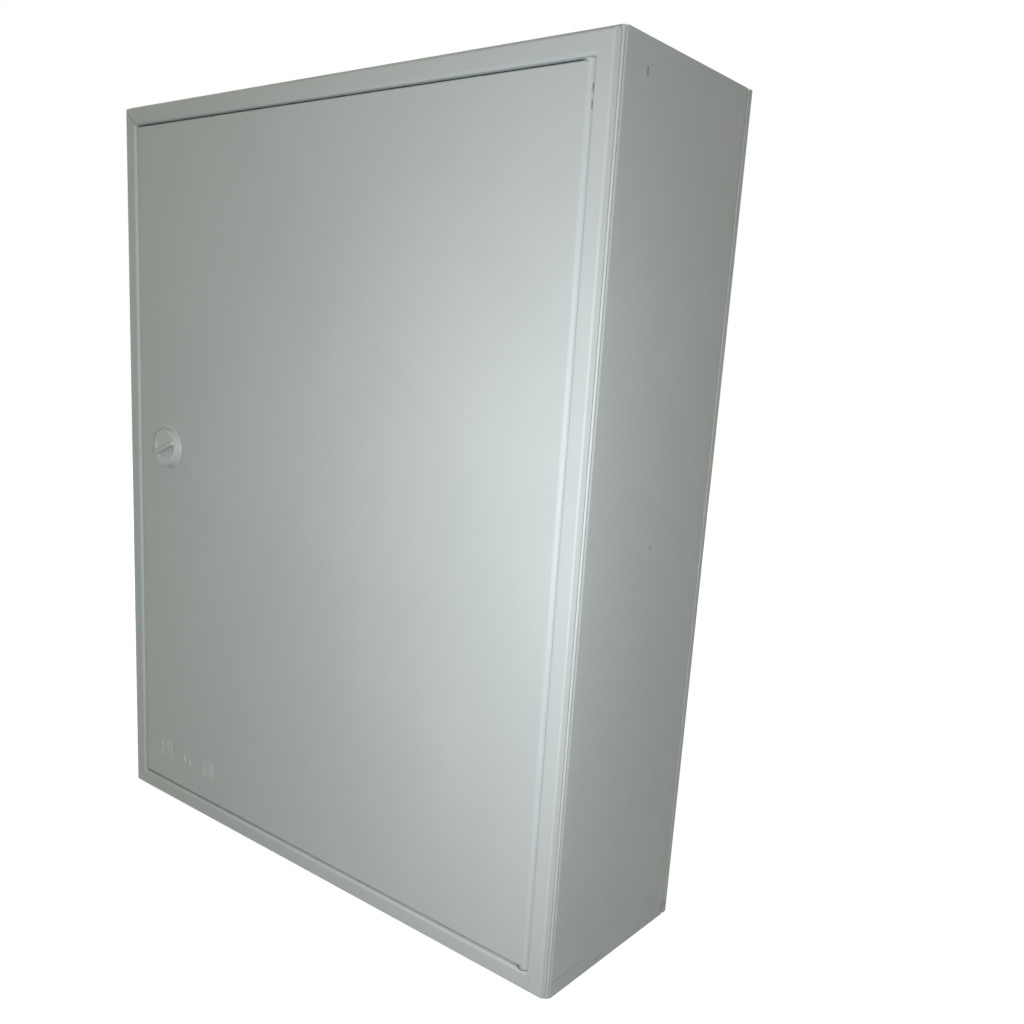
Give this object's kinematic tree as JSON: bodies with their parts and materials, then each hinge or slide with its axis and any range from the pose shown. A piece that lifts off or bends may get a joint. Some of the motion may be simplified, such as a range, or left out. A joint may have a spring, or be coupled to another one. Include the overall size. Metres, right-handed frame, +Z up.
{
  "type": "wall-mounted utility cabinet",
  "caption": "Sheet-steel wall cabinet with a raised mitred frame, a recessed door on pivot hinges at the right, a quarter-turn knob and an equipment plate inside",
  "frame": {"origin": "bottom centre of the bounding box, on the surface the cabinet would stand on", "axes": "+X right seen from the front, +Y to the back, +Z up"},
  "size_m": [0.65, 0.2234, 0.8],
  "materials": {
    "coat": "light grey powder coat, satin, fine texture",
    "zinc": "zinc-plated steel",
    "nylon": "natural nylon",
    "lock_grey": "moulded plastic in the cabinet's grey",
    "seal": "foamed black seal",
    "copper": "plain brass bar",
    "insulator": "light moulded plastic"
  },
  "bodies": {
    "cabinet": {"wall_left": "coat", "wall_right": "coat", "wall_top": "coat", "wall_bottom": "coat", "back_panel": "coat", "frame_left": "coat", "frame_right": "coat", "frame_top": "coat", "frame_bottom": "coat", "hinge_plate_top": "zinc", "hinge_plate_bottom": "zinc", "hinge_washer": "nylon", "lock_keeper": "zinc", "gland_gasket": "seal", "gland_plate": "zinc", "gland_screws": "zinc", "plate_studs": "zinc", "plate_nuts": "zinc", "mounting_plate": "zinc", "din_rail_upper": "zinc", "din_rail_lower": "zinc", "rail_screws": "zinc", "earth_bar": "copper", "earth_bar_supports": "insulator", "earth_screws": "zinc"},
    "door": {"door_panel": "coat", "door_stiffener": "zinc", "door_gasket": "seal", "hinge_boss_top": "zinc", "hinge_boss_bottom": "zinc", "hinge_pin_top": "zinc", "hinge_pin_bottom": "zinc", "document_pocket": "insulator", "lock_housing": "lock_grey", "lock_nut": "zinc"},
    "latch": {"lock_knob": "lock_grey", "lock_cam": "zinc", "cam_washer": "zinc", "cam_screw": "zinc"}
  },
  "joints": [
    {"name": "door_hinge", "type": "hinge", "parent": "cabinet", "child": "door", "pos_m": [0.2967, -0.09625, 0.4], "axis": [0, 0, 1], "range_deg": [0, 100]},
    {"name": "lock_turn", "type": "hinge", "parent": "door", "child": "latch", "pos_m": [-0.248, -0.10525, 0.432], "axis": [0, 1, 0], "range_deg": [0, 90]}
  ]
}
